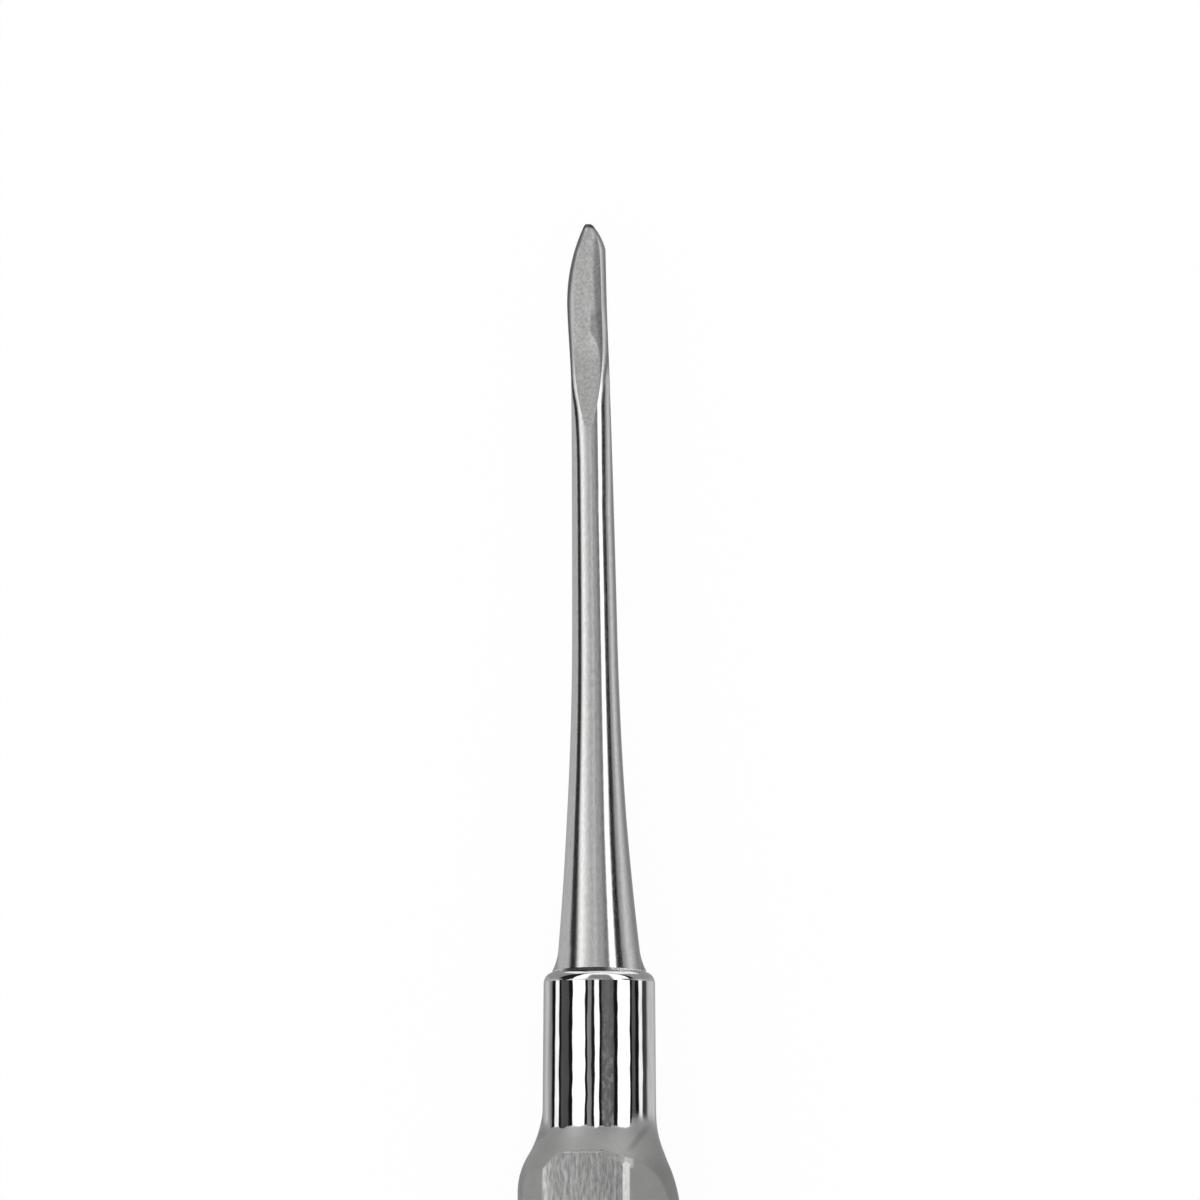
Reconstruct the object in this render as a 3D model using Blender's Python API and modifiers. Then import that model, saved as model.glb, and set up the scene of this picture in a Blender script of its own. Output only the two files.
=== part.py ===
"""Root tip pick: a scooped spear-point working end set in a turned handle with ground flats.

The tool lies along Y on one of its two main flats, with the tip at +Y and the floor at z = 0.
Lengths along the tool are measured from the tip (stations) and turned into Y by along().
"""

import math

import bmesh
import bpy
from mathutils import Matrix, Vector

NAME = "root_tip_pick"

# Lengths along the tool
LENGTH = 0.160
WORKING_LENGTH = 0.05600

# Round shank: a slim cone, a long hollow sweep and a small foot that sits on the handle
SHANK_ROOT_RADIUS = 0.001461
SHANK_SLOPE = 0.0125
SWEEP_LENGTH = 0.0236
SWEEP_RADIUS = 0.262
FOOT_LENGTH = 0.00150
FOOT_RADIUS = 0.00370
SHANK_LEAN = math.radians(1.04)
SHANK_BOW = 0.0001

# Blade outline, seen from above
BLADE_LENGTH = 0.0130
BELLY_STATION = 0.0062
BELLY_HALF_WIDTH = 0.00155
LEFT_ARC_RADIUS = 0.01395
CORNER_STATION = 0.00195
CORNER_HALF_WIDTH = 0.001465
RIGHT_ARC_RADIUS = 0.0045
RIGHT_ARC_START = math.radians(13.5)

# Blade heights over the shank's axis, seen from the side, and how far the top falls to each edge
TIP_TOP = 0.00047
TIP_UNDERSIDE = 0.00005
BLADE_CROWN = 0.00090
LEFT_EDGE_FALL = 0.00038
RIGHT_EDGE_FALL = 0.00027
TIP_FALL_SHARE = 0.45
NOSE_LENGTH = 0.0060

# Trough ground into the blade's upper side; its path swings to the right towards the tip
TROUGH_RADIUS = 0.0021
TROUGH_FLOOR = 0.00050
TROUGH_OFFSET = 0.00006
TROUGH_SWING = 0.00055
TROUGH_END_STATION = 0.01492
TROUGH_RISE = math.radians(10.1)
TROUGH_BEND_LENGTH = 0.0024

# Tang inside the handle
TANG_RADIUS = 0.00160
TANG_LENGTH = 0.0180
TANG_CHAMFER = 0.0004
TANG_CLEARANCE = 0.0002
SEAT_GAP = 0.0002

# Turned handle: neck, hollow-and-round shoulder, straight grip and domed butt
NECK_FRONT_RADIUS = 0.00417
NECK_BACK_RADIUS = 0.00425
NECK_LENGTH = 0.01018
NECK_EDGE_RADIUS = 0.00085
SHOULDER_HOLLOW_RADIUS = 0.0077
SHOULDER_ROUND_RADIUS = 0.0074
GRIP_RADIUS = 0.00612
BUTT_DOME_HEIGHT = 0.0032

# Two main flats, each with a bevel on both sides, and four diagonal flats between them
MAIN_FLATS_ACROSS = 0.00952
MAIN_FLAT_START = 0.01370
MAIN_FLAT_RAMP = math.radians(50)
RIGHT_BEVEL_WIDTH = 0.00080
RIGHT_BEVEL_TILT = math.radians(29)
LEFT_BEVEL_WIDTH = 0.00090
LEFT_BEVEL_TILT = math.radians(13)
DIAGONAL_TILT = math.radians(42)
RIGHT_DIAGONALS_ACROSS = 0.01100
LEFT_DIAGONALS_ACROSS = 0.01155

# Small facet that breaks the front right corner of each main flat
CORNER_FACET_OFFSET = 0.00088
CORNER_FACET_TILT = math.radians(30)
CORNER_FACET_TURN = math.radians(28)
CORNER_FACET_REACH = 0.00055

# Fineness of the faceted surfaces
WORKING_SEGMENTS = 48
HANDLE_SEGMENTS = 72
ARC_STEPS = 9
CUTTER_MARGIN = 0.002

SHANK_STEEL = ((0.56, 0.56, 0.55, 1.0), 0.22)
HANDLE_STEEL = ((0.42, 0.42, 0.41, 1.0), 0.42)


def along(station):
    """The Y of a station, a distance from the tip; the tool is centred on Y."""
    return LENGTH / 2 - station


def steel(name, colour, roughness):
    """A metal with one colour and roughness."""
    material = bpy.data.materials.new(name)
    material.use_nodes = True
    shader = material.node_tree.nodes["Principled BSDF"]
    shader.inputs["Base Color"].default_value = colour
    shader.inputs["Metallic"].default_value = 1.0
    shader.inputs["Roughness"].default_value = roughness
    return material


def add_object(name, mesh, collection, parent=None):
    item = bpy.data.objects.new(name, mesh)
    collection.objects.link(item)
    item.parent = parent
    return item


def add_cutter(name, mesh, cutters, parent):
    """A helper solid that only cuts others."""
    cutter = add_object(name, mesh, cutters, parent)
    cutter.hide_render = True
    cutter.display_type = "WIRE"
    return cutter


def cut(target, cutter, operation="DIFFERENCE"):
    boolean = target.modifiers.new(cutter.name, "BOOLEAN")
    boolean.operation = operation
    boolean.solver = "EXACT"
    boolean.object = cutter


def loft(name, rings):
    """A closed skin through rings of equally many points, with a flat cap at each end."""
    mesh = bpy.data.meshes.new(name)
    shape = bmesh.new()
    rows = [[shape.verts.new(point) for point in ring] for ring in rings]
    count = len(rows[0])
    for row, following in zip(rows, rows[1:]):
        for i in range(count):
            after = (i + 1) % count
            shape.faces.new((row[i], row[after], following[after], following[i]))
    shape.faces.new(reversed(rows[0]))
    shape.faces.new(rows[-1])
    bmesh.ops.recalc_face_normals(shape, faces=shape.faces)
    shape.to_mesh(mesh)
    shape.free()
    return mesh


def ease(share):
    """A smooth step from 0 to 1."""
    share = min(max(share, 0.0), 1.0)
    return share * share * (3 - 2 * share)


def spread(start, end, count, power=1.0):
    """Stations from start to end; a power over 1 crowds them towards the start."""
    return [start + (end - start) * (i / count) ** power for i in range(count + 1)]


def foot_station():
    return WORKING_LENGTH - FOOT_LENGTH


def shank_radius(station):
    """Radius of the round shank at a distance from the tip."""
    sweep_start = foot_station() - SWEEP_LENGTH
    swept = min(max(station - sweep_start, 0.0), SWEEP_LENGTH)
    radius = SHANK_ROOT_RADIUS + SHANK_SLOPE * (min(station, foot_station()) - BLADE_LENGTH)
    radius += SWEEP_RADIUS - math.sqrt(SWEEP_RADIUS**2 - swept**2)
    if station > foot_station():
        first = math.atan(SHANK_SLOPE + SWEEP_LENGTH / SWEEP_RADIUS)
        reach = math.sin(first) + (station - foot_station()) / FOOT_RADIUS
        radius += FOOT_RADIUS * (math.cos(first) - math.sqrt(1 - min(reach, 1.0) ** 2))
    return radius


def left_edge(station):
    """Half width of the blade on the belly side."""
    if station < BELLY_STATION:
        ahead = BELLY_STATION - station
        return BELLY_HALF_WIDTH - LEFT_ARC_RADIUS + math.sqrt(LEFT_ARC_RADIUS**2 - ahead**2)
    share = ease((station - BELLY_STATION) / (BLADE_LENGTH - BELLY_STATION))
    return BELLY_HALF_WIDTH + (shank_radius(station) - BELLY_HALF_WIDTH) * share


def right_edge(station):
    """Half width of the blade on the straight side, which ends in a corner and a short arc."""
    if station < CORNER_STATION:
        sine = math.sin(RIGHT_ARC_START) + (CORNER_STATION - station) / RIGHT_ARC_RADIUS
        cosine = math.sqrt(1 - min(sine, 1.0) ** 2)
        return CORNER_HALF_WIDTH - RIGHT_ARC_RADIUS * (math.cos(RIGHT_ARC_START) - cosine)
    share = (station - CORNER_STATION) / (BLADE_LENGTH - CORNER_STATION)
    return CORNER_HALF_WIDTH + (shank_radius(BLADE_LENGTH) - CORNER_HALF_WIDTH) * min(share, 1.0)


def blade_ring(station):
    """One section of the blade: a low crown between two edges over a deep round underside."""
    root = shank_radius(BLADE_LENGTH)
    nose = 1 - (1 - min(station / NOSE_LENGTH, 1.0)) ** 2
    rounding = ease((station - BELLY_STATION) / (BLADE_LENGTH - BELLY_STATION))
    crown = TIP_TOP + (BLADE_CROWN - TIP_TOP) * nose
    fall_share = TIP_FALL_SHARE + (1 - TIP_FALL_SHARE) * nose
    underside = -root + (root + TIP_UNDERSIDE) * (1 - station / BLADE_LENGTH) ** 2
    ring = []
    for i in range(WORKING_SEGMENTS):
        across = math.cos(math.tau * i / WORKING_SEGMENTS)
        height = math.sin(math.tau * i / WORKING_SEGMENTS)
        half_width = right_edge(station) if across > 0 else left_edge(station)
        fall = fall_share * (RIGHT_EDGE_FALL if across > 0 else LEFT_EDGE_FALL)
        mean_fall = (RIGHT_EDGE_FALL + LEFT_EDGE_FALL) / 2
        mean_fall += (RIGHT_EDGE_FALL - LEFT_EDGE_FALL) / 2 * across
        edge = (crown - fall_share * mean_fall) * (1 - rounding)
        if height > 0:
            z = (crown - fall * across**4) * (1 - rounding) + root * height * rounding
        else:
            z = edge + (edge - underside) * height
        ring.append(leaned(half_width * across, station, z))
    return ring


def round_ring(radius, station):
    """A round section about the tool's axis, or about the leaning one in front of the handle."""
    angles = [math.tau * i / WORKING_SEGMENTS for i in range(WORKING_SEGMENTS)]
    return [leaned(radius * math.cos(a), station, radius * math.sin(a)) for a in angles]


def leaned(x, station, z):
    """A point of the working end, whose shank leans to the left of its foot and bows back."""
    ahead = max(WORKING_LENGTH - station, 0.0)
    bowed = min(max((station / WORKING_LENGTH + 0.1) / 0.9, 0.0), 1.0)
    shift = SHANK_BOW * math.sin(math.pi * bowed) - math.tan(SHANK_LEAN) * ahead
    return Vector((x + shift, along(station), z))


def trough_mesh():
    """A round bar along the trough: level over the blade, then rising out of the shank."""
    exit_height = shank_radius(TROUGH_END_STATION)
    rise = math.tan(TROUGH_RISE)
    level_end = TROUGH_END_STATION - (exit_height - TROUGH_FLOOR) / rise
    half_bend = TROUGH_BEND_LENGTH / 2
    stations = [-CUTTER_MARGIN] + spread(0.0, NOSE_LENGTH, ARC_STEPS)
    stations += spread(level_end - half_bend, level_end + half_bend, ARC_STEPS)
    stations.append(TROUGH_END_STATION + 2 * TROUGH_RADIUS / rise)
    points = []
    for station in stations:
        bent = min(max(station - level_end + half_bend, 0.0), TROUGH_BEND_LENGTH)
        floor = TROUGH_FLOOR + rise * bent**2 / (2 * TROUGH_BEND_LENGTH)
        floor += rise * max(station - level_end - half_bend, 0.0)
        ahead = 1 - min(station / NOSE_LENGTH, 1.0)
        aside = TROUGH_OFFSET + TROUGH_SWING * ahead**2
        points.append(leaned(aside, station, floor + TROUGH_RADIUS))
    return tube_mesh("trough", points, TROUGH_RADIUS)


def tube_mesh(name, points, radius):
    """A round bar through the points, as a closed mesh."""
    curve = bpy.data.curves.new(name, "CURVE")
    curve.dimensions = "3D"
    curve.bevel_depth = radius
    curve.bevel_resolution = 22
    curve.use_fill_caps = True
    spline = curve.splines.new("POLY")
    spline.points.add(len(points) - 1)
    for target, point in zip(spline.points, points):
        target.co = (*point, 1.0)
    guide = bpy.data.objects.new(name, curve)
    bpy.context.scene.collection.objects.link(guide)
    bpy.context.view_layer.update()
    evaluated = guide.evaluated_get(bpy.context.evaluated_depsgraph_get())
    mesh = bpy.data.meshes.new_from_object(evaluated)
    bpy.data.objects.remove(guide)
    weld(mesh)
    return mesh


def weld(mesh):
    shape = bmesh.new()
    shape.from_mesh(mesh)
    bmesh.ops.remove_doubles(shape, verts=shape.verts, dist=1e-7)
    bmesh.ops.recalc_face_normals(shape, faces=shape.faces)
    shape.to_mesh(mesh)
    shape.free()


def make_working_end(parts, cutters, parent):
    """Blade, shank, foot and tang, forged as one piece."""
    rings = [blade_ring(s) for s in spread(0.0, CORNER_STATION, 6)]
    rings += [blade_ring(s) for s in spread(CORNER_STATION, BLADE_LENGTH, 13, 1.2)[1:]]
    sweep_start = foot_station() - SWEEP_LENGTH
    shank = spread(BLADE_LENGTH, sweep_start, 3)[1:] + spread(sweep_start, foot_station(), 10)[1:]
    shank += spread(foot_station(), WORKING_LENGTH, 6)[1:]
    rings += [round_ring(shank_radius(s), s) for s in shank]
    tang_end = WORKING_LENGTH + TANG_LENGTH
    rings.append(round_ring(TANG_RADIUS, WORKING_LENGTH))
    rings.append(round_ring(TANG_RADIUS, tang_end - TANG_CHAMFER))
    rings.append(round_ring(TANG_RADIUS - TANG_CHAMFER, tang_end))
    mesh = loft("working_end", rings)
    working_end = add_object("working_end", mesh, parts, parent)
    cut(working_end, add_cutter("trough_cutter", trough_mesh(), cutters, parent))
    mesh.materials.append(steel("polished_steel", *SHANK_STEEL))
    mesh.shade_smooth()
    mesh.set_sharp_from_angle(angle=math.radians(35))


def arc(centre, radius, first, last):
    """Points on an arc, as (radius, station) pairs; angles are measured from the outward side."""
    angles = spread(first, last, ARC_STEPS)
    return [(centre[0] + radius * math.cos(a), centre[1] + radius * math.sin(a)) for a in angles]


def handle_profile():
    """Half section of the turned handle, from the bore's floor round the outside to the butt."""
    front = WORKING_LENGTH + SEAT_GAP
    bore = TANG_RADIUS + TANG_CLEARANCE
    bore_floor = WORKING_LENGTH + TANG_LENGTH + TANG_CLEARANCE
    shoulder = front + NECK_LENGTH
    steepest = math.acos(
        1 - (GRIP_RADIUS - NECK_BACK_RADIUS) / (SHOULDER_HOLLOW_RADIUS + SHOULDER_ROUND_RADIUS)
    )
    run = (SHOULDER_HOLLOW_RADIUS + SHOULDER_ROUND_RADIUS) * math.sin(steepest)
    edge_centre = (NECK_FRONT_RADIUS - NECK_EDGE_RADIUS, front + NECK_EDGE_RADIUS)
    hollow_centre = (NECK_BACK_RADIUS + SHOULDER_HOLLOW_RADIUS, shoulder)
    round_centre = (GRIP_RADIUS - SHOULDER_ROUND_RADIUS, shoulder + run)
    profile = [(0.0, bore_floor), (bore, bore_floor), (bore, front)]
    profile += arc(edge_centre, NECK_EDGE_RADIUS, -math.pi / 2, 0.0)
    profile += arc(hollow_centre, SHOULDER_HOLLOW_RADIUS, math.pi, math.pi - steepest)
    profile += arc(round_centre, SHOULDER_ROUND_RADIUS, -steepest, 0.0)[1:]
    for angle in spread(0.0, math.pi / 2, ARC_STEPS):
        radius = GRIP_RADIUS * math.cos(angle)
        profile.append((radius, LENGTH - BUTT_DOME_HEIGHT * (1 - math.sin(angle))))
    profile[-1] = (0.0, LENGTH)
    return profile


def turned_mesh(name, profile):
    """The open profile in the XZ plane, with Z along the tool."""
    mesh = bpy.data.meshes.new(name)
    points = [(radius, 0.0, along(station)) for radius, station in profile]
    mesh.from_pydata(points, [(i, i + 1) for i in range(len(points) - 1)], [])
    return mesh


def prism_mesh(name, outline, back, front_of):
    """An outline in XZ drawn out from the station back to the station that front_of(z) gives."""
    near = [(x, along(back), z) for x, z in outline]
    far = [(x, along(front_of(z)), z) for x, z in outline]
    return loft(name, [near, far])


def diagonals_mesh():
    """The bar whose four slanting sides leave the grip's diagonal flats."""
    right = RIGHT_DIAGONALS_ACROSS / 2
    left = LEFT_DIAGONALS_ACROSS / 2
    peak = Vector(
        (
            (right - left) / (2 * math.sin(DIAGONAL_TILT)),
            (right + left) / (2 * math.cos(DIAGONAL_TILT)),
        )
    )
    flank = Vector(
        (
            (right + left) / (2 * math.sin(DIAGONAL_TILT)),
            (right - left) / (2 * math.cos(DIAGONAL_TILT)),
        )
    )
    outline = [peak, flank, -peak, -flank]
    front = WORKING_LENGTH - CUTTER_MARGIN
    return prism_mesh("diagonals", outline, LENGTH + CUTTER_MARGIN, lambda z: front)


def bevel_start(width, tilt, diagonals_across):
    """Distance from the main flat's middle to where its bevel begins."""
    outer_height = MAIN_FLATS_ACROSS / 2 - width * math.sin(tilt)
    outer = diagonals_across / 2 - outer_height * math.cos(DIAGONAL_TILT)
    return outer / math.sin(DIAGONAL_TILT) - width * math.cos(tilt)


def main_flat_mesh():
    """The ground-away space over one main flat, with a bevel along each side and a ramp in front."""
    height = MAIN_FLATS_ACROSS / 2
    top = GRIP_RADIUS + CUTTER_MARGIN
    right = bevel_start(RIGHT_BEVEL_WIDTH, RIGHT_BEVEL_TILT, RIGHT_DIAGONALS_ACROSS)
    left = bevel_start(LEFT_BEVEL_WIDTH, LEFT_BEVEL_TILT, LEFT_DIAGONALS_ACROSS)
    reach = GRIP_RADIUS
    outline = [
        (-left, height),
        (right, height),
        (right + reach, height - reach * math.tan(RIGHT_BEVEL_TILT)),
        (right + reach, top),
        (-left - reach, top),
        (-left - reach, height - reach * math.tan(LEFT_BEVEL_TILT)),
    ]
    start = WORKING_LENGTH + SEAT_GAP + MAIN_FLAT_START
    ramp = math.tan(MAIN_FLAT_RAMP)
    return prism_mesh(
        "main_flat", outline, LENGTH + CUTTER_MARGIN, lambda z: start - (z - height) / ramp
    )


def corner_facet_mesh():
    """A block whose underside breaks the front right corner of a main flat."""
    mesh = bpy.data.meshes.new("corner_facet")
    shape = bmesh.new()
    bmesh.ops.create_cube(shape, size=1.0)
    depth = GRIP_RADIUS
    size = Vector((2 * GRIP_RADIUS, depth + CORNER_FACET_REACH, GRIP_RADIUS))
    bmesh.ops.scale(shape, vec=size, verts=shape.verts)
    shift = Vector((GRIP_RADIUS, (CORNER_FACET_REACH - depth) / 2, GRIP_RADIUS / 2))
    bmesh.ops.translate(shape, vec=shift, verts=shape.verts)
    turn = Matrix.Rotation(-CORNER_FACET_TURN, 4, "Z") @ Matrix.Rotation(-CORNER_FACET_TILT, 4, "X")
    start = along(WORKING_LENGTH + SEAT_GAP + MAIN_FLAT_START)
    corner = Matrix.Translation((CORNER_FACET_OFFSET, start, MAIN_FLATS_ACROSS / 2))
    bmesh.ops.transform(shape, matrix=corner @ turn, verts=shape.verts)
    shape.to_mesh(mesh)
    shape.free()
    return mesh


def make_handle(parts, cutters, parent):
    """Neck, shoulder and grip, turned from one bar and then ground flat on six sides."""
    mesh = turned_mesh("handle", handle_profile())
    handle = add_object("handle", mesh, parts, parent)
    handle.rotation_euler = (-math.pi / 2, 0.0, 0.0)
    screw = handle.modifiers.new("turn", "SCREW")
    screw.axis = "Z"
    screw.steps = HANDLE_SEGMENTS
    screw.render_steps = HANDLE_SEGMENTS
    screw.use_merge_vertices = True
    screw.merge_threshold = 1e-6
    screw.use_smooth_shade = False
    cut(handle, add_cutter("diagonals_cutter", diagonals_mesh(), cutters, parent), "INTERSECT")
    for side, turn in (("upper", 0.0), ("lower", math.pi)):
        for shape, mesh_of in (("flat", main_flat_mesh), ("corner", corner_facet_mesh)):
            cutter = add_cutter(f"{side}_{shape}_cutter", mesh_of(), cutters, parent)
            cutter.rotation_euler = (0.0, turn, 0.0)
            cut(handle, cutter)
    mesh.materials.append(steel("satin_steel", *HANDLE_STEEL))


def settle(frame, parts):
    """Sets the tool down so that its lowest point touches z = 0."""
    bpy.context.view_layer.update()
    graph = bpy.context.evaluated_depsgraph_get()
    lowest = 0.0
    for item in parts.objects:
        evaluated = item.evaluated_get(graph)
        place = evaluated.matrix_world
        lowest = min(lowest, min((place @ v.co).z for v in evaluated.data.vertices))
    frame.matrix_world = Matrix.Translation((0.0, 0.0, -lowest))


def main():
    for item in list(bpy.data.objects):
        bpy.data.objects.remove(item, do_unlink=True)
    parts = bpy.data.collections.new(NAME)
    cutters = bpy.data.collections.new("cutters")
    for collection in (parts, cutters):
        bpy.context.scene.collection.children.link(collection)
    frame = add_object("tool_axis", None, cutters)
    make_working_end(parts, cutters, frame)
    make_handle(parts, cutters, frame)
    settle(frame, parts)


main()
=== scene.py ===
"""Root tip pick: the dressed visual model, laid out as an add-on with one operator for each piece."""

import math

import bmesh
import bpy
import numpy as np
from mathutils import Matrix, Vector


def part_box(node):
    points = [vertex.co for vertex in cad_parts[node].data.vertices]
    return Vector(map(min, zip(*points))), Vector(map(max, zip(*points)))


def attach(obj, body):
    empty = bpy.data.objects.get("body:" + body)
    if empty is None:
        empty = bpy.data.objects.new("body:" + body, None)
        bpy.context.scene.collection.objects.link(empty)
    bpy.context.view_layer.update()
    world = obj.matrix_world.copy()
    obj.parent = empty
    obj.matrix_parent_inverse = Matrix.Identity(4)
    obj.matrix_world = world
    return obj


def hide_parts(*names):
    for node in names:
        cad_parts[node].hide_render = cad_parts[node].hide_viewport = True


bl_info = {
    "name": "Root Tip Pick",
    "version": (1, 0, 0),
    "blender": (4, 5, 0),
    "location": "3D View > Sidebar > Root Tip Pick",
    "description": "Builds the ground and polished skin of a root tip pick over its solids",
    "category": "Object",
}

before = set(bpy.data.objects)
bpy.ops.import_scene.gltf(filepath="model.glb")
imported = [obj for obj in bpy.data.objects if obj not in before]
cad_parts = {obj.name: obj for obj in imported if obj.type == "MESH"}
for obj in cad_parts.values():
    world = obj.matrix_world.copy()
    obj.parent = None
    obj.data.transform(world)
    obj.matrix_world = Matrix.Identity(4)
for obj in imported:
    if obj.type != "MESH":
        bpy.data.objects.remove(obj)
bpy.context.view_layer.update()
HANDLE_LOW, HANDLE_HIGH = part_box("handle")
TIP_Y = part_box("working_end")[1].y
AXIS_HEIGHT = (HANDLE_LOW.z + HANDLE_HIGH.z) / 2
LENGTH = TIP_Y - HANDLE_LOW.y

# Lengths along the tool are stations, measured from the tip
WORKING_LENGTH = 0.05600
SHANK_SLOPE = 0.0133
SWEEP_LENGTH = 0.0236
SWEEP_RADIUS = 0.270
FOOT_LENGTH = 0.00150
FOOT_RADIUS = 0.00370
COLLAR_RADIUS = 0.00325
SEAM_DIP = 0.00015
BELLY_STATION = 0.0062
LEFT_ARC_RADIUS = 0.01395
CORNER_STATION = 0.00195
RIGHT_ARC_RADIUS = 0.0045
RIGHT_ARC_START = math.radians(13.5)
TIP_TOP = 0.00047
TIP_UNDERSIDE = 0.00005
BLADE_CROWN = 0.00090
LEFT_EDGE_FALL = 0.00038
RIGHT_EDGE_FALL = 0.00027
TIP_FALL_SHARE = 0.45
NOSE_LENGTH = 0.0060
TROUGH_OFFSET = 0.00006
TROUGH_SWING = 0.00055
TROUGH_RISE = math.radians(10.1)
TIP_ROUNDING = 0.0002
TIP_CORNER_CUT = 0.00008
TIP_DIP = 0.00006
DIP_LENGTH = 0.0025
TROUGH_BEND_LENGTH = 0.0024
TANG_RADIUS = 0.00160
TANG_LENGTH = 0.0180
TANG_CHAMFER = 0.0004
SEAM_SETBACK = 0.00002
BORE_RADIUS = 0.00180
BORE_LENGTH = 0.0182
FRONT = WORKING_LENGTH + 0.0002
SHOULDER_START = FRONT + 0.01018
FLAT_START = FRONT + 0.01370
FLAT_RAMP = math.radians(50)
BEVEL_TILT = math.radians(29)
BEVEL_DIP = 0.00012
BEVEL_DIP_END = 0.0709
BEVEL_DIP_LENGTH = 0.001
ROLL_OFF_START = 0.00250
ROLL_OFF_DROP = 0.00013
ROLL_OFF_MOST = 1.3
DIAGONAL_TILT = math.radians(42)
FACET_OFFSET = 0.00088
FACET_TILT = math.radians(30)
FACET_TURN = math.radians(28)
FACET_REACH = 0.00012
FACET_FLARE = 0.24
SKEW_START = 0.0660
SKEW_LENGTH = 0.002
SKEW_GROWTH_START = 0.06977
SKEW_GROWTH = 0.2
BUTT_DOME_HEIGHT = 0.0032
BUTT_CENTRE_RADIUS = 0.0002
OVERRUN = 0.002

# Stations to which the handle's rows are evenly spaced, with the number of rows up to each
NECK_ROWS = [(0.0660, 22), (0.0686, 18), (0.0720, 80), (0.0745, 20)]
GRIP_ROW_COUNT = 36

CAMERA_ROLL = math.radians(9.5)
CAMERA_TILT = math.radians(4.0)
CAMERA_DISTANCE = 1.5
CAMERA_LENS = 600
CAMERA_TARGET = Vector((0.00005, 0.05173, AXIS_HEIGHT))
FLOOR_REACH = 1.5

# Brightness of the studio round the tool for each of its surfaces, as turns in degrees from the
# camera, seen along the tool, and levels
NECK_LEFT_STUDIO = [
    (-180, 0.34), (-168, 0.38), (-154, 0.45), (-146, 0.58), (-138, 0.69), (-132, 0.66),
    (-125, 0.45), (-116, 0.26), (-112, 0.01), (-104, 0.01), (-102, 1.35), (-92, 1.35), (-91, 0.01),
    (-86.5, 0.01), (-83, 0.10), (-67, 0.09), (-64, 0.01), (-57.5, 0.01), (-56, 1.70), (-30.5, 1.70),
    (-29, 0.01), (-25, 0.01), (-24, 0.34), (-17, 0.26), (-15.5, 0.02), (-10.5, 0.01), (-9, 1.70),
    (-1, 1.70), (0, 0.01), (4, 0.01),
]
NECK_RIGHT_STUDIO = [
    (4, 0.01), (6, 0.14), (18, 0.18), (29, 0.12), (31, 0.01), (37.5, 0.01), (39, 1.70), (65, 1.70),
    (66, 0.01), (70, 0.01), (72, 0.12), (78, 0.12), (80, 0.01), (88, 0.01), (90, 1.30), (98, 1.20),
    (100, 0.06), (112, 0.07), (116, 0.40), (121, 0.68), (146, 0.68), (158, 0.50), (180, 0.36),
]
SHANK_STUDIO = [
    (-180, 0.40), (-150, 0.50), (-126, 0.56), (-98, 0.58), (-92, 0.03), (-75, 0.03), (-68, 0.80),
    (-62, 1.20), (-58, 1.29), (-52, 1.14), (-40, 0.80), (-34, 0.70), (-28, 0.60), (-18, 0.56),
    (-12, 0.66), (-7, 0.60), (-2, 0.46), (12, 0.42), (22, 0.24), (30, 0.22), (33, 1.70), (49, 1.70),
    (54, 0.02), (71, 0.02), (77, 0.36), (86, 0.46), (93, 0.70), (101, 0.78), (110, 0.60),
    (120, 0.42), (145, 0.50), (180, 0.36),
]
EDGE_STUDIO = [
    (-126, 0.38), (-110, 0.42), (-107, 1.10), (-102, 1.10), (-99, 0.02), (-60, 0.02), (-57, 1.60),
    (-33, 1.60), (-24, 0.32), (26, 0.30), (35, 1.60), (66, 1.60), (69, 0.02), (92, 0.03),
    (98, 0.50), (108, 0.48), (126, 0.40),
]
FRONT_STUDIO = [
    (-126, 0.42), (-112, 0.42), (-104, 0.02), (-74, 0.02), (-68, 1.30), (64, 1.30), (72, 0.10),
    (84, 0.10), (92, 0.55), (126, 0.42),
]

# Turn in degrees where the neck's left strips meet its right ones
NECK_TURN = 4.0
# Degrees by which a reflection points forward where one surface's strips give way to the next's
SHANK_LIFT = (3.4, 4.2)
EDGE_LIFT = (18.0, 22.0)
FRONT_LIFT = (59.0, 75.0)

# Stations along the blade and, for each side, where the bright and the dark line lie across it,
# then stations along the shank with the share of its roundness that each side keeps
RIM_STATIONS = [0.0005, 0.0010, 0.0015, 0.0020, 0.0033, 0.0058, 0.0077, 0.0099, 0.0118]
RIGHT_BRIGHT = [0.20, 0.72, 0.74, 0.76, 0.78, 0.77, 0.86, 0.80, 0.68]
RIGHT_DARK = [0.66, 0.87, 0.89, 0.91, 0.91, 0.91, 0.97, 0.93, 0.81]
LEFT_BRIGHT = [0.05, 0.36, 0.44, 0.65, 0.70, 0.79, 0.79, 0.77, 0.73]
LEFT_DARK = [0.62, 0.76, 0.78, 0.84, 0.88, 0.91, 0.91, 0.91, 0.89]
SHANK_STATIONS = [0.0118, 0.0133, 0.0148, 0.0163, 0.0178, 0.0193, 0.0216]
RIGHT_FLATNESS = [0.74, 0.83, 0.84, 0.87, 0.91, 0.93, 1.0]
LEFT_FLATNESS = [0.70, 0.76, 0.89, 0.96, 1.0, 1.0, 1.0]
# Degrees by which the rim faces aside at its bright and dark lines, and the least and the most
RIGHT_FACING = (20.5, 31.0)
LEFT_FACING = (29.0, 39.8)
RIGHT_LIMITS = (17.2, 34.0)
LEFT_LIMITS = (18.0, 41.5)
# Behind the blade the rim turns into the round shank, which may face further aside
STEEPENING = [0.0092, 0.0114]
FREEING = [0.0098, 0.0114]
FREED_TURN = 14.0
STEEPNESS = 1.4
ROUND_START = 0.0112
ROUND_LENGTH = 0.0028
LIP_END = 0.014
# How little and how far the rim and the shank face forward
LEAST_FORWARD = 0.03
RIM_FORWARD = 0.08
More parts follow.
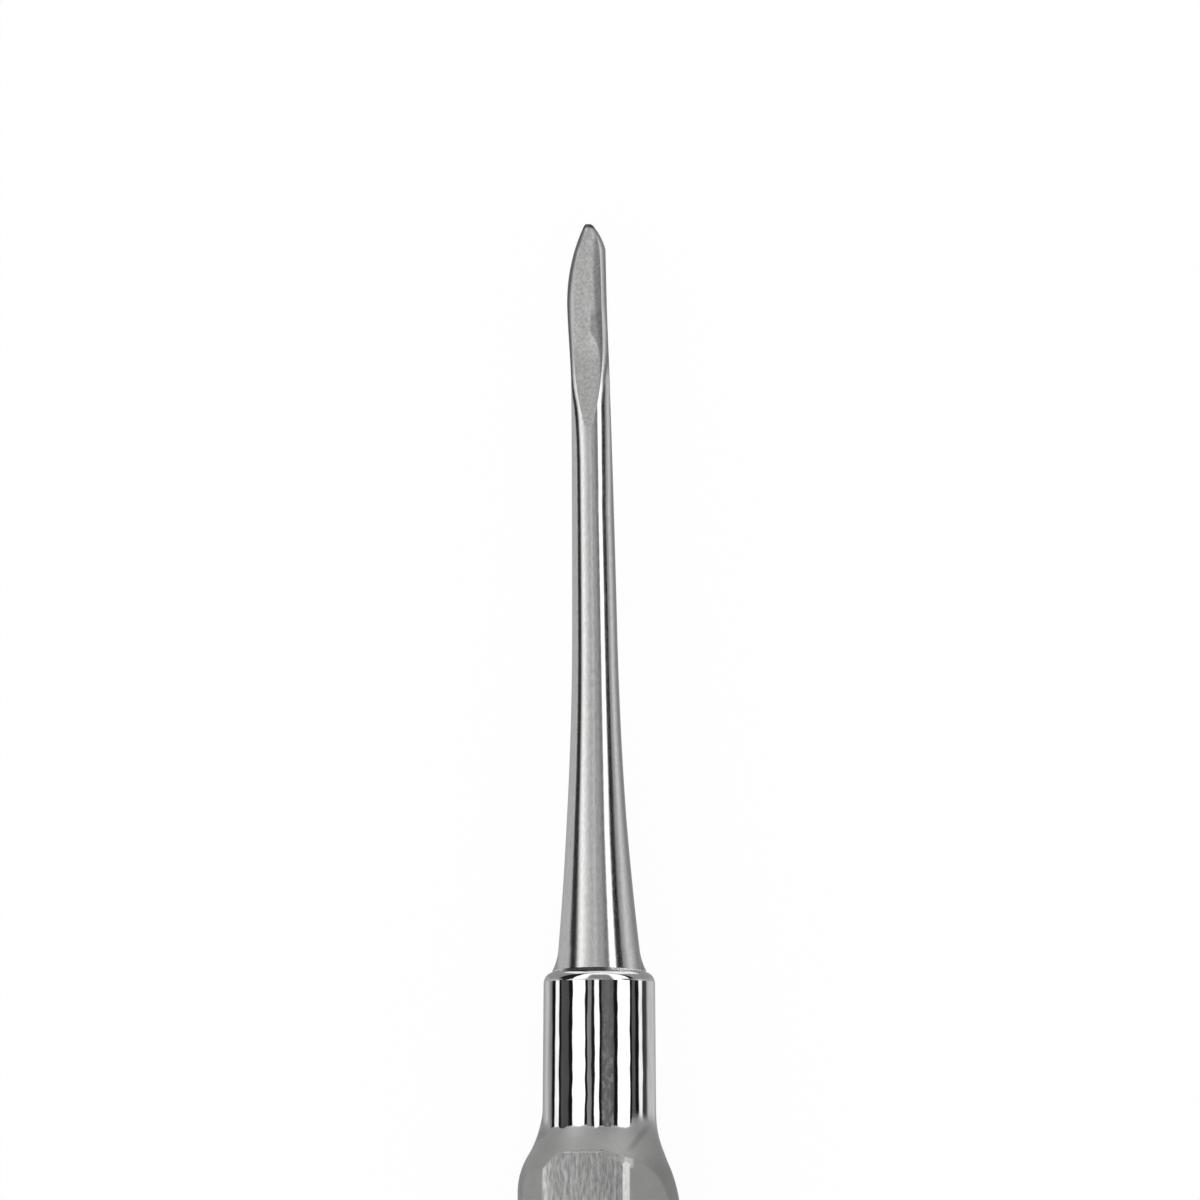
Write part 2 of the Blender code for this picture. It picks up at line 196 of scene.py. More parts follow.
# How far a face points forward or back when it counts as an end face
END_FACING = 0.8


def length(name, description, default):
    """A length that a user would change."""
    return bpy.props.FloatProperty(
        name=name, description=description, default=default, precision=6, unit="LENGTH"
    )


def tone(name, description, *default):
    """A colour that a user would change."""
    return bpy.props.FloatVectorProperty(
        name=name, description=description, default=default, size=3, min=0, max=1, subtype="COLOR"
    )


class PickSizes(bpy.types.PropertyGroup):
    """Sizes that a user would change."""

    shank_radius: length("Shank radius", "Radius of the shank where the blade begins", 0.001461)
    shank_lean: bpy.props.FloatProperty(
        name="Shank lean",
        description="Angle at which the shank is set to the left of the handle",
        default=math.radians(1.04),
        subtype="ANGLE",
        unit="ROTATION",
    )
    shank_bow: length("Shank bow", "How far the middle of the shank bows back to the right", 0.00014)
    blade_length: length("Blade length", "Length of the spear point ahead of the round shank", 0.0130)
    belly_half_width: length("Belly half width", "Half width of the blade on its rounded side", 0.00155)
    corner_half_width: length(
        "Corner half width", "Half width of the blade at the corner on its straight side", 0.001465
    )
    trough_radius: length("Trough radius", "Radius of the wheel that ground the trough", 0.0021)
    trough_floor: length("Trough floor", "Height of the trough's floor over the shank's axis", 0.00053)
    trough_end: length("Trough end", "Distance from the tip to the rounded end of the trough", 0.01492)
    neck_front_radius: length(
        "Neck front radius", "Radius of the handle's neck behind its rounded front edge", 0.00417
    )
    neck_back_radius: length(
        "Neck back radius", "Radius of the handle's neck where the shoulder begins", 0.00425
    )
    neck_edge_radius: length("Neck edge radius", "Rounding of the neck's front edge", 0.00085)
    shoulder_hollow: length(
        "Shoulder hollow", "Radius of the hollow arc that leads out of the neck", 0.0077
    )
    shoulder_round: length("Shoulder round", "Radius of the round arc that leads into the grip", 0.0074)
    shoulder_skew: length(
        "Shoulder skew", "How much further forward the shoulder stands on the left side", 0.00036
    )
    grip_radius: length("Grip radius", "Radius of the round sides of the grip", 0.00612)
    flats_across: length("Main flats across", "Distance between the two main flats", 0.00952)
    right_across: length(
        "Right diagonals across", "Distance from the upper right to the lower left flat", 0.01078
    )
    left_across: length(
        "Left diagonals across", "Distance from the upper left to the lower right flat", 0.01166
    )
    bevel_width: length(
        "Bevel width", "Width of the polished bevel along the right side of each main flat", 0.00064
    )
    polish_end: length(
        "Polish end", "Distance from the tip to the line where polish meets blasting", 0.06797
    )


class PickColours(bpy.types.PropertyGroup):
    """Colours and finishes that a user would change."""

    polished: tone("Polished steel", "Colour of the mirror polished neck", 0.70, 0.70, 0.70)
    shank: tone("Shank steel", "Colour of the polished shank and blade rim", 0.70, 0.70, 0.695)
    trough: tone("Trough steel", "Colour of the matt ground trough", 0.62, 0.62, 0.615)
    blasted: tone("Blasted steel", "Colour of the bead blasted shoulder and sides", 0.46, 0.46, 0.455)
    brushed: tone("Brushed steel", "Colour of the lengthwise brushed main flats", 0.50, 0.50, 0.495)
    bevel: tone("Bevel steel", "Colour of the polished bevel strips", 0.72, 0.72, 0.71)
    solder: tone("Seam solder", "Colour of the dull solder in the seam", 0.20, 0.20, 0.197)
    backdrop: tone("Backdrop", "Colour of the floor under the tool", 0.96, 0.96, 0.96)


class Level:
    """A socket of a node that gives a value, usable in a Python expression."""

    def __init__(self, sheet, socket):
        self.sheet = sheet
        self.socket = socket

    def __add__(self, other):
        return self.sheet.maths("ADD", self, other)

    def __sub__(self, other):
        return self.sheet.maths("SUBTRACT", self, other)

    def __rsub__(self, other):
        return self.sheet.maths("SUBTRACT", other, self)

    def __mul__(self, other):
        return self.sheet.maths("MULTIPLY", self, other)

    def __truediv__(self, other):
        return self.sheet.maths("DIVIDE", self, other)

    __radd__ = __add__
    __rmul__ = __mul__


class Sheet:
    """The node tree of a material or of the world."""

    def __init__(self, owner):
        owner.use_nodes = True
        self.owner = owner
        self.tree = owner.node_tree
        self.tree.nodes.clear()

    def node(self, kind, settings=None, sockets=None, out=0):
        """Adds a node, sets it up, fills its sockets and returns one of its outputs."""
        made = self.tree.nodes.new(kind)
        for name, value in (settings or {}).items():
            if name == "stops":
                self.set_stops(made.color_ramp, value)
            else:
                setattr(made, name, value)
        for name, value in (sockets or {}).items():
            self.feed(self.find(made.inputs, name), value)
        return Level(self, self.find(made.outputs, out))

    @staticmethod
    def find(sockets, name):
        if isinstance(name, int):
            return sockets[name]
        for socket in sockets:
            if socket.identifier == name:
                return socket
        return sockets[name]

    @staticmethod
    def set_stops(ramp, stops):
        while len(ramp.elements) > 1:
            ramp.elements.remove(ramp.elements[-1])
        for index, (place, level) in enumerate(stops):
            element = ramp.elements[0] if index == 0 else ramp.elements.new(place)
            element.position = place
            element.color = (level, level, level, 1.0)

    def feed(self, socket, value):
        if isinstance(value, Level):
            self.tree.links.new(value.socket, socket)
        elif hasattr(socket.default_value, "__len__") and len(socket.default_value) == 4:
            socket.default_value = (*value[:3], 1.0)
        else:
            socket.default_value = value

    def maths(self, operation, *values):
        """One step of arithmetic on values."""
        sockets = dict(enumerate(values))
        return self.node("ShaderNodeMath", {"operation": operation}, sockets)

    def step(self, value, low, high, start=0.0, end=1.0):
        """A smooth step from start to end as the value goes from low to high."""
        return self.node(
            "ShaderNodeMapRange",
            {"interpolation_type": "SMOOTHSTEP"},
            {"Value": value, "From Min": low, "From Max": high, "To Min": start, "To Max": end},
        )

    def split(self, vector, axes="XYZ"):
        return [self.node("ShaderNodeSeparateXYZ", None, {0: vector}, axis) for axis in axes]

    def place(self):
        """The point on the tool, as X, Y and Z values in millimetres."""
        return [part * 1000.0 for part in self.split(self.node("ShaderNodeTexCoord", out="Object"))]

    def side(self):
        """How far the surface faces to the right of the tool, from -1 to 1."""
        x, z = self.split(self.node("ShaderNodeNewGeometry", out="Normal"), "XZ")
        return x * math.cos(CAMERA_ROLL) - z * math.sin(CAMERA_ROLL)

    def vector(self, x, y, z):
        return self.node("ShaderNodeCombineXYZ", None, {0: x, 1: y, 2: z})

    def noise(self, vector, detail=2.0, roughness=0.5):
        return self.node(
            "ShaderNodeTexNoise",
            {"noise_dimensions": "3D"},
            {"Vector": vector, "Scale": 1.0, "Detail": detail, "Roughness": roughness},
            "Fac",
        )

    def grain(self, place, across, along, detail=2.0, roughness=0.5):
        """Noise on the tool, with its fineness across and along it."""
        x, y, z = place
        vector = self.vector(x * across, y * along, z * across)
        return self.noise(vector, detail=detail, roughness=roughness)

    def blend(self, share, first, second):
        """A colour between two colours."""
        return self.node(
            "ShaderNodeMix",
            {"data_type": "RGBA", "clamp_factor": True},
            {"Factor_Float": share, "A_Color": first, "B_Color": second},
            "Result_Color",
        )

    def shade(self, colour, amount):
        """A colour made lighter or darker by a factor that varies."""
        grey = self.node("ShaderNodeCombineColor", None, {0: amount, 1: amount, 2: amount})
        return self.node(
            "ShaderNodeMix",
            {"data_type": "RGBA", "blend_type": "MULTIPLY", "clamp_result": False},
            {"Factor_Float": 1.0, "A_Color": colour, "B_Color": grey},
            "Result_Color",
        )

    def bump(self, height, distance, under=None):
        sockets = {"Strength": 1.0, "Distance": distance, "Height": height}
        if under is not None:
            sockets["Normal"] = under
        return self.node("ShaderNodeBump", None, sockets, "Normal")

    def metal(self, colour, roughness, normal):
        """Ends the tree in a metal surface and returns the material."""
        sockets = {"Base Color": colour, "Metallic": 1.0, "Roughness": roughness, "Normal": normal}
        shader = self.node("ShaderNodeBsdfPrincipled", None, sockets)
        self.finish("ShaderNodeOutputMaterial", shader)
        return self.owner

    def finish(self, kind, surface):
        output = self.tree.nodes.new(kind)
        self.tree.links.new(surface.socket, output.inputs["Surface"])


def along(station):
    """The Y of a station."""
    return TIP_Y - station


def ease(share):
    """A share from 0 to 1 that starts and ends gently."""
    share = np.clip(share, 0.0, 1.0)
    return share * share * (3 - 2 * share)


def spread(start, end, count):
    return [start + (end - start) * (i / count) for i in range(count + 1)]


def add_piece(name, mesh, slot, *nodes):
    """Puts a finished mesh on the tool in place of its solid."""
    piece = bpy.data.objects.new(name, mesh)
    bpy.context.scene.collection.objects.link(piece)
    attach(piece, "root")
    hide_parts(*nodes)


def skin(name, rows):
    """A mesh through rows of equally many points, with a cap at each end."""
    count = len(rows[0])
    points = np.concatenate([np.asarray(row, float) for row in rows])
    faces = []
    for i in range(len(rows) - 1):
        for j in range(count):
            after = (j + 1) % count
            near, far = i * count, (i + 1) * count
            faces.append((near + j, near + after, far + after, far + j))
    faces.append(tuple(range(count - 1, -1, -1)))
    last = (len(rows) - 1) * count
    faces.append(tuple(range(last, last + count)))
    mesh = bpy.data.meshes.new(name)
    mesh.from_pydata(points.tolist(), [], faces)
    mesh.update()
    return mesh


def set_right_side_out(mesh):
    shape = bmesh.new()
    shape.from_mesh(mesh)
    bmesh.ops.recalc_face_normals(shape, faces=shape.faces)
    shape.to_mesh(mesh)
    shape.free()


def numbers(items, name):
    """One whole number of every item."""
    values = np.zeros(len(items), int)
    items.foreach_get(name, values)
    return values


def vectors(items, name):
    """One vector of every item."""
    values = np.zeros(len(items) * 3)
    items.foreach_get(name, values)
    return values.reshape(-1, 3)


def corners_of(mesh):
    """The normal and the point of every face corner."""
    points = vectors(mesh.vertices, "co")
    return vectors(mesh.corner_normals, "vector"), points[numbers(mesh.loops, "vertex_index")]


def faces_of(mesh):
    """The flat normal and the material slot of the face at every face corner."""
    corners = numbers(mesh.polygons, "loop_total")
    flats = np.repeat(vectors(mesh.polygons, "normal"), corners, axis=0)
    return flats, np.repeat(numbers(mesh.polygons, "material_index"), corners)


def around_axis(points, shift):
    """Turn from the camera's side, distance from the axis and station of every point."""
    x, z = points[:, 0] - shift, points[:, 2] - AXIS_HEIGHT
    return np.arctan2(x, z) - CAMERA_ROLL, np.hypot(x, z), TIP_Y - points[:, 1]


def lapped_outward(turn, reach, straight):
    """Outward directions that keep each line of polish straight where the surface flares."""
    across = np.clip(reach * np.sin(turn) / np.maximum(straight, 1e-6), -1, 1)
    lapped = np.arcsin(across)
    lapped = np.where(np.cos(turn) < 0, np.pi - lapped, lapped) + CAMERA_ROLL
    return np.stack([np.sin(lapped), np.zeros(len(turn)), np.cos(lapped)], axis=1)


def set_normals(mesh, normals, lapped, share):
    share = share[:, None]
    mixed = normals * (1 - share) + lapped * share
    mixed /= np.linalg.norm(mixed, axis=1)[:, None]
    mesh.normals_split_custom_set(mixed.tolist())


class WorkingEndShape:
    """The forms of the blade, shank, foot and tang."""

    around = 144

    def __init__(self, sizes):
        self.sizes = sizes
        self.lean = math.tan(sizes.shank_lean)
        self.foot = WORKING_LENGTH - FOOT_LENGTH
        self.turns = [math.tau * i / self.around for i in range(self.around)]

    def leaned(self, x, station, z):
        ahead = max(WORKING_LENGTH - station, 0.0)
        bowed = min(max((station / WORKING_LENGTH + 0.1) / 0.9, 0.0), 1.0)
        shift = self.sizes.shank_bow * math.sin(math.pi * bowed) - self.lean * ahead
        return (x + shift, along(station), AXIS_HEIGHT + z)

    def radius(self, station):
        swept = min(max(station - self.foot + SWEEP_LENGTH, 0.0), SWEEP_LENGTH)
        radius = self.sizes.shank_radius
        radius += SHANK_SLOPE * (min(station, self.foot) - self.sizes.blade_length)
        radius += SWEEP_RADIUS - math.sqrt(SWEEP_RADIUS**2 - swept**2)
        if station > self.foot:
            first = math.atan(SHANK_SLOPE + SWEEP_LENGTH / SWEEP_RADIUS)
            reach = math.sin(first) + (station - self.foot) / FOOT_RADIUS
            radius += FOOT_RADIUS * (math.cos(first) - math.sqrt(1 - min(reach, 1.0) ** 2))
        return radius

    def left_edge(self, station):
        widest = self.sizes.belly_half_width
        if station < BELLY_STATION:
            ahead = BELLY_STATION - station
            return widest - LEFT_ARC_RADIUS + math.sqrt(LEFT_ARC_RADIUS**2 - ahead**2)
        share = ease((station - BELLY_STATION) / (self.sizes.blade_length - BELLY_STATION))
        return widest + (self.radius(station) - widest) * share

    def right_edge(self, station):
        corner = self.sizes.corner_half_width
        if station < CORNER_STATION:
            sine = math.sin(RIGHT_ARC_START) + (CORNER_STATION - station) / RIGHT_ARC_RADIUS
            cosine = math.sqrt(1 - min(sine, 1.0) ** 2)
            return corner - RIGHT_ARC_RADIUS * (math.cos(RIGHT_ARC_START) - cosine)
        share = (station - CORNER_STATION) / (self.sizes.blade_length - CORNER_STATION)
        return corner + (self.radius(self.sizes.blade_length) - corner) * min(share, 1.0)

    def blade_row(self, station):
        """A low crown between two edges over a deep round underside."""
        root = self.radius(self.sizes.blade_length)
        nose = 1 - (1 - min(station / NOSE_LENGTH, 1.0)) ** 2
        rounding = ease((station - BELLY_STATION) / (self.sizes.blade_length - BELLY_STATION))
        crown = TIP_TOP + (BLADE_CROWN - TIP_TOP) * nose
        fall_share = TIP_FALL_SHARE + (1 - TIP_FALL_SHARE) * nose
        ahead = 1 - station / self.sizes.blade_length
        underside = -root + (root + TIP_UNDERSIDE) * ahead**2
        row = []
        for turn in self.turns:
            across, height = math.cos(turn), math.sin(turn)
            wide = self.right_edge(station) if across > 0 else self.left_edge(station)
            wide -= TIP_CORNER_CUT * max(0.0, 1 - station / TIP_ROUNDING) ** 2
            fall = fall_share * (RIGHT_EDGE_FALL if across > 0 else LEFT_EDGE_FALL)
            mean_fall = (RIGHT_EDGE_FALL + LEFT_EDGE_FALL) / 2
            mean_fall += (RIGHT_EDGE_FALL - LEFT_EDGE_FALL) / 2 * across
            edge = (crown - fall_share * mean_fall) * (1 - rounding)
            if height > 0:
                z = (crown - fall * across**4) * (1 - rounding) + root * height * rounding
            else:
                z = edge + (edge - underside) * height
            row.append(self.leaned(wide * across, station, z))
        return row

    def lap(self, mesh):
        """Rounds the blade's rim and keeps the lengthwise polish straight over the foot's flare."""
        normals, points = corners_of(mesh)
        station = TIP_Y - points[:, 1]
        marks = spread(0.0, WORKING_LENGTH + SEAM_DIP, 400)
        middle = np.interp(station, marks, [self.leaned(0, s, 0)[0] for s in marks])
        turn, reach, station = around_axis(points, middle)
        facing = np.arctan2(normals[:, 0], normals[:, 2]) - CAMERA_ROLL
        aside = points[:, 0] - middle
        edges = [[edge(s) for s in marks] for edge in (self.left_edge, self.right_edge)]
        wide = [np.interp(station, marks, edge) for edge in edges]
        share = np.abs(aside) / np.where(aside > 0, wide[1], wide[0])

        def law(bright, dark, angles, limits):
            bright, dark = (np.interp(station, RIM_STATIONS, level) for level in (bright, dark))
            first, last = angles
            value = first + (last - first) * (share - bright) / (dark - bright)
            value += steeper * np.maximum(value - last, 0.0)
            return np.clip(value, limits[0], limits[1] + freed)

        freed = np.interp(station, FREEING, [0.0, FREED_TURN])
        steeper = np.interp(station, STEEPENING, [0.0, STEEPNESS])
        rim = np.where(
            aside > 0,
            law(RIGHT_BRIGHT, RIGHT_DARK, RIGHT_FACING, RIGHT_LIMITS),
            -law(LEFT_BRIGHT, LEFT_DARK, LEFT_FACING, LEFT_LIMITS),
        )
        flatness = [np.interp(station, SHANK_STATIONS, f) for f in (LEFT_FLATNESS, RIGHT_FLATNESS)]
        facing = facing * np.where(facing > 0, flatness[1], flatness[0])
        behind = ease((station - ROUND_START) / ROUND_LENGTH)
        facing = np.radians(rim) * (1 - behind) + facing * behind + CAMERA_ROLL
        most = np.where(station < LIP_END, RIM_FORWARD, 1.0)
        level = np.clip(normals[:, 1], LEAST_FORWARD, most)
        rounded = np.stack([np.sin(facing), level, np.cos(facing)], axis=1)
        flats, slots = faces_of(mesh)
        polished = (slots == 0) & (np.abs(flats[:, 1]) < END_FACING)
        polished &= (station < self.foot) & ((flats[:, 2] > 0.05) | (station > LIP_END))
        normals = np.where(polished[:, None], rounded, normals)
        slope = SHANK_SLOPE + SWEEP_LENGTH / SWEEP_RADIUS
        straight = self.radius(self.foot) + slope * (station - self.foot)
        lapped = lapped_outward(turn, reach, np.minimum(reach, straight))
        lapped[:, 1] = slope
        share = np.clip((station - self.foot + 0.0001) / 0.0003, 0, 1)
        share *= (np.abs(flats[:, 1]) < END_FACING) & (reach > straight - 0.0001)
        share *= station < WORKING_LENGTH + SEAM_DIP + 0.00001
        set_normals(mesh, normals, lapped, share)

    def round_row(self, radius, station):
        radii = np.broadcast_to(radius, len(self.turns)).tolist()
        return [
            self.leaned(reach * math.cos(turn), station, reach * math.sin(turn))
            for reach, turn in zip(radii, self.turns)
        ]

    def dip(self, row, share):
        """Moves a row back on both sides, so that the seam is a shallow arc from above."""
        dipped = []
        for turn, (x, y, z) in zip(self.turns, row):
            dipped.append((x, y - SEAM_DIP * share * math.cos(turn) ** 2, z))
        return dipped

    def body(self):
        """Blade, shank, foot, soldered collar and tang before the trough is ground."""
        blade = self.sizes.blade_length
        stations = spread(0.0, TIP_ROUNDING, 6) + spread(TIP_ROUNDING, CORNER_STATION, 26)[1:]
        rows = [self.blade_row(s) for s in stations + spread(CORNER_STATION, blade, 70)[1:]]
        shank = spread(blade, self.foot, 110)[1:] + spread(self.foot, WORKING_LENGTH, 16)[1:]
        for station in shank:
            share = max(0.0, (station - self.foot) / FOOT_LENGTH)
            rows.append(self.dip(self.round_row(self.radius(station), station), share))
        tang_end = WORKING_LENGTH + TANG_LENGTH
        flush = self.radius(WORKING_LENGTH) - SEAM_SETBACK - COLLAR_RADIUS
        filled = [COLLAR_RADIUS + flush * ease((abs(math.cos(t)) - 0.45) / 0.3) for t in self.turns]
        rows.append(self.dip(self.round_row(filled, WORKING_LENGTH), 1.0))
        rows.append(self.round_row(filled, FRONT))
        rows.append(self.round_row(TANG_RADIUS, FRONT))
        rows.append(self.round_row(TANG_RADIUS, tang_end - TANG_CHAMFER))
        rows.append(self.round_row(TANG_RADIUS - TANG_CHAMFER, tang_end))
        mesh = skin("working_end_body", rows)
        collar = len(rows) - 5
        slots = np.zeros(len(mesh.polygons), np.int32)
        slots[(collar - 1) * self.around : (collar + 2) * self.around] = 1
        mesh.polygons.foreach_set("material_index", slots)
        set_right_side_out(mesh)
        return mesh

    def trough(self):
        """The round bar that leaves the trough."""
        wheel = self.sizes.trough_radius
        floor = self.sizes.trough_floor
        end = self.sizes.trough_end
        rise = math.tan(TROUGH_RISE)
        level_end = end - (self.radius(end) - floor) / rise
        half = TROUGH_BEND_LENGTH / 2
        stations = [-OVERRUN] + spread(0.0, NOSE_LENGTH, 40)
        stations += spread(level_end - half, level_end + half, 24)
        stations.append(end + 2 * wheel / rise)
        circle = [(wheel * math.cos(turn), wheel * math.sin(turn)) for turn in self.turns]
        rows = []
        for station in stations:
            bent = min(max(station - level_end + half, 0.0), TROUGH_BEND_LENGTH)
            low = floor + rise * bent**2 / (2 * TROUGH_BEND_LENGTH)
            low += rise * max(station - level_end - half, 0.0)
            low -= TIP_DIP * max(0.0, 1 - max(station, 0.0) / DIP_LENGTH) ** 2
            slope = rise * bent / TROUGH_BEND_LENGTH
            ahead = 1 - min(station / NOSE_LENGTH, 1.0)
            aside = TROUGH_OFFSET + TROUGH_SWING * ahead**2
            centre = low + wheel
            rows.append([self.leaned(aside + x, station - slope * z, centre + z) for x, z in circle])
        mesh = skin("trough_wheel", rows)
        set_right_side_out(mesh)
        return mesh


class HandleShape:
    """The forms of the neck, shoulder and grip, as a radius for each turn and station."""

    def __init__(self, sizes):
        self.sizes = sizes
        self.height = sizes.flats_across / 2
        self.right = sizes.right_across / 2
        self.left = sizes.left_across / 2
        tilt = DIAGONAL_TILT
        self.bevel_height = self.height - sizes.bevel_width * math.sin(BEVEL_TILT)
        self.bevel_outer = (self.right - self.bevel_height * math.cos(tilt)) / math.sin(tilt)
        self.bevel_inner = self.bevel_outer - sizes.bevel_width * math.cos(BEVEL_TILT)
        self.bevel = self.bevel_inner * math.sin(BEVEL_TILT) + self.height * math.cos(BEVEL_TILT)
        self.roll_height = self.height - ROLL_OFF_DROP
        self.roll_outer = (self.left - self.roll_height * math.cos(tilt)) / math.sin(tilt)
        facet = Matrix.Rotation(-FACET_TURN, 3, "Z") @ Matrix.Rotation(-FACET_TILT, 3, "X")
        side, ahead, out = (facet.col[axis].copy() for axis in range(3))
        ahead = (ahead - FACET_FLARE * side).normalized()
        self.facet = (Vector((FACET_OFFSET, along(FLAT_START), self.height)), out, ahead, side)

    def turns(self):
        """Angles from straight up towards the right, with one on each lengthwise edge."""
        grip = self.sizes.grip_radius
        marks = [
            -(DIAGONAL_TILT + math.acos(self.left / grip)),
            -math.atan2(self.roll_outer, self.roll_height),
            -math.atan2(ROLL_OFF_START, self.height),
            math.atan2(self.bevel_inner, self.height),
            math.atan2(self.bevel_outer, self.bevel_height),
            DIAGONAL_TILT + math.acos(self.right / grip),
        ]
        marks.append(marks[0] + math.pi)
        counts = (16, 12, 76, 8, 20, 18)
        half = []
        for low, high, count in zip(marks, marks[1:], counts):
            half += spread(low, high, count)[:-1]
        return np.array(half + [turn + math.pi for turn in half])

    def turned(self, stations):
        """Radius of the turned form behind the neck's rounded edge."""
        sizes = self.sizes
        reach = sizes.shoulder_hollow + sizes.shoulder_round
        steepest = math.acos(1 - (sizes.grip_radius - sizes.neck_back_radius) / reach)
        change = SHOULDER_START + sizes.shoulder_hollow * math.sin(steepest)
        end = SHOULDER_START + reach * math.sin(steepest)
        share = np.clip((stations - FRONT) / (SHOULDER_START - FRONT), 0, 1)
        neck = sizes.neck_front_radius
        neck = neck + (sizes.neck_back_radius - sizes.neck_front_radius) * share
        into = np.clip(stations - SHOULDER_START, 0, change - SHOULDER_START)
        hollow = neck + sizes.shoulder_hollow - np.sqrt(sizes.shoulder_hollow**2 - into**2)
        left = np.clip(end - stations, 0, end - change)
        outer = sizes.grip_radius - sizes.shoulder_round
        outer = outer + np.sqrt(sizes.shoulder_round**2 - left**2)
        return np.where(stations < change, hollow, outer)

    def limits(self, turns, station):
        """The radius at one station for each turn, and the number of the surface that sets it."""
        skew = self.sizes.shoulder_skew + SKEW_GROWTH * max(0.0, station - SKEW_GROWTH_START)
        skew *= ease((station - SKEW_START) / SKEW_LENGTH)
        shifted = station - skew * np.sin(turns - CAMERA_ROLL)
        radius = self.turned(shifted)
        kind = np.zeros(len(turns), int)
        for centre, distance in ((DIAGONAL_TILT, self.right), (-DIAGONAL_TILT, self.left)):
            facing = np.abs(np.cos(turns - centre))
            radius = np.minimum(radius, distance / np.maximum(facing, 0.1))
        for half in (0.0, math.pi):
            radius, kind = self.cut_flat(turns - half, station, radius, kind)
        return radius, kind

    def cut_flat(self, turns, station, radius, kind):
        """Grinds one main flat with its bevel, roll-off, front ramp and corner facet."""
        sine, cosine = np.sin(turns), np.cos(turns)
        up = cosine > 0.2
        safe = np.where(up, cosine, 1.0)
        flat = self.height / safe
        bevel = self.bevel - BEVEL_DIP * ease((BEVEL_DIP_END - station) / BEVEL_DIP_LENGTH)
        bevel = bevel / np.maximum(np.cos(turns - BEVEL_TILT), 0.2)
        x = np.tan(np.where(up, turns, 0.0)) * self.height
        run = np.clip((-x - ROLL_OFF_START) / (self.roll_outer - ROLL_OFF_START), 0, None)
        roll = (self.height - ROLL_OFF_DROP * np.minimum(run, ROLL_OFF_MOST) ** 2) / safe
        roll = np.where(run > ROLL_OFF_MOST, 1.0, roll)
        ground = np.minimum(np.minimum(flat, bevel), roll)
        ramp = (self.height + (FLAT_START - station) * math.tan(FLAT_RAMP)) / safe
        level = np.maximum(ground, ramp)
        found = np.where(ramp > ground, 3, np.where(bevel < np.minimum(flat, roll), 2, 1))
        lower = up & (level < radius)
        radius = np.where(lower, level, radius)
        kind = np.where(lower, found, kind)
        y = along(station)
        corner, out, ahead, side = self.facet
        lean = out.x * sine + out.z * cosine
        plane = (out.dot(corner) - out.y * y) / np.where(lean > 0.1, lean, 1.0)
        lean_ahead = ahead.x * sine + ahead.z * cosine
        wall = ahead.dot(corner) + FACET_REACH - ahead.y * y
        wall = wall / np.where(lean_ahead < -0.01, lean_ahead, -1.0)
        edge = side.dot(corner) - side.y * y
        edge = edge / np.where(sine > 0.01, side.x * sine, 1.0)
        level = np.maximum(np.maximum(plane, wall), edge)
        lower = (sine > 0.01) & (lean > 0.1) & (lean_ahead < -0.01) & (level < radius)
        radius = np.where(lower, level, radius)
        kind = np.where(lower, 4, kind)
        return radius, kind

    def mesh(self):
        """The whole handle, and the number of the surface that each face lies on."""
        sizes = self.sizes
        turns = self.turns()
        edge = sizes.neck_edge_radius
        flank = FRONT + edge
        rows, kinds = [], []

        def add(radii, station, kind=0):
            radii = np.broadcast_to(radii, turns.shape)
            x = radii * np.sin(turns)
            z = radii * np.cos(turns) + AXIS_HEIGHT
            y = np.full(turns.shape, along(station))
            rows.append(np.stack([x, y, z], axis=1))
            kinds.append(np.broadcast_to(kind, turns.shape))

        add(BORE_RADIUS, FRONT + BORE_LENGTH)
        add(BORE_RADIUS, FRONT)
        centre = sizes.neck_front_radius - edge
        for angle in spread(0.0, math.pi / 2, 18)[:-1]:
            add(centre + edge * math.sin(angle), flank - edge * math.cos(angle))
        stations = [flank]
        dome = LENGTH - BUTT_DOME_HEIGHT
        for end, count in NECK_ROWS + [(dome, GRIP_ROW_COUNT)]:
            stations += spread(stations[-1], end, count)[1:]
        for station in stations:
            last, kind = self.limits(turns, station)
            add(last, station, kind)
        for angle in spread(0.0, math.pi / 2, 18)[1:-1]:
            shrunk = sizes.grip_radius * math.cos(angle)
            station = dome + BUTT_DOME_HEIGHT * math.sin(angle)
            add(np.minimum(last, shrunk), station, np.where(last < shrunk, kind, 0))
        add(BUTT_CENTRE_RADIUS, LENGTH)
        mesh = skin("handle_skin", rows)
        kinds = np.array(kinds)
        after = np.roll(kinds, -1, axis=1)
        four = np.stack([kinds[:-1], kinds[1:], after[:-1], after[1:]])
        side_kinds = np.where(four.min(axis=0) == 0, 0, four.max(axis=0)).reshape(-1)
        set_right_side_out(mesh)
        return mesh, np.append(side_kinds, [0, 0])

    def lap(self, mesh):
        """Laps the polished neck as one straight cylinder up to the blasting."""
        normals, points = corners_of(mesh)
        turn, reach, station = around_axis(points, np.zeros(len(points)))
        sizes = self.sizes
        edge = FRONT + sizes.neck_edge_radius
        share = np.clip((station - edge + 0.00016) / 0.00010, 0, 1)
        share *= np.clip((sizes.polish_end + 0.0009 - station) / 0.0005, 0, 1)
        lapped = lapped_outward(turn, reach, np.minimum(reach, sizes.neck_back_radius))
        lapped[:, 1] = -0.01
        set_normals(mesh, normals, lapped, share)


def new_steel(name):
    """The sheet of a new material and the point on the tool."""
    sheet = Sheet(bpy.data.materials.new(name))
    return sheet, sheet.place()


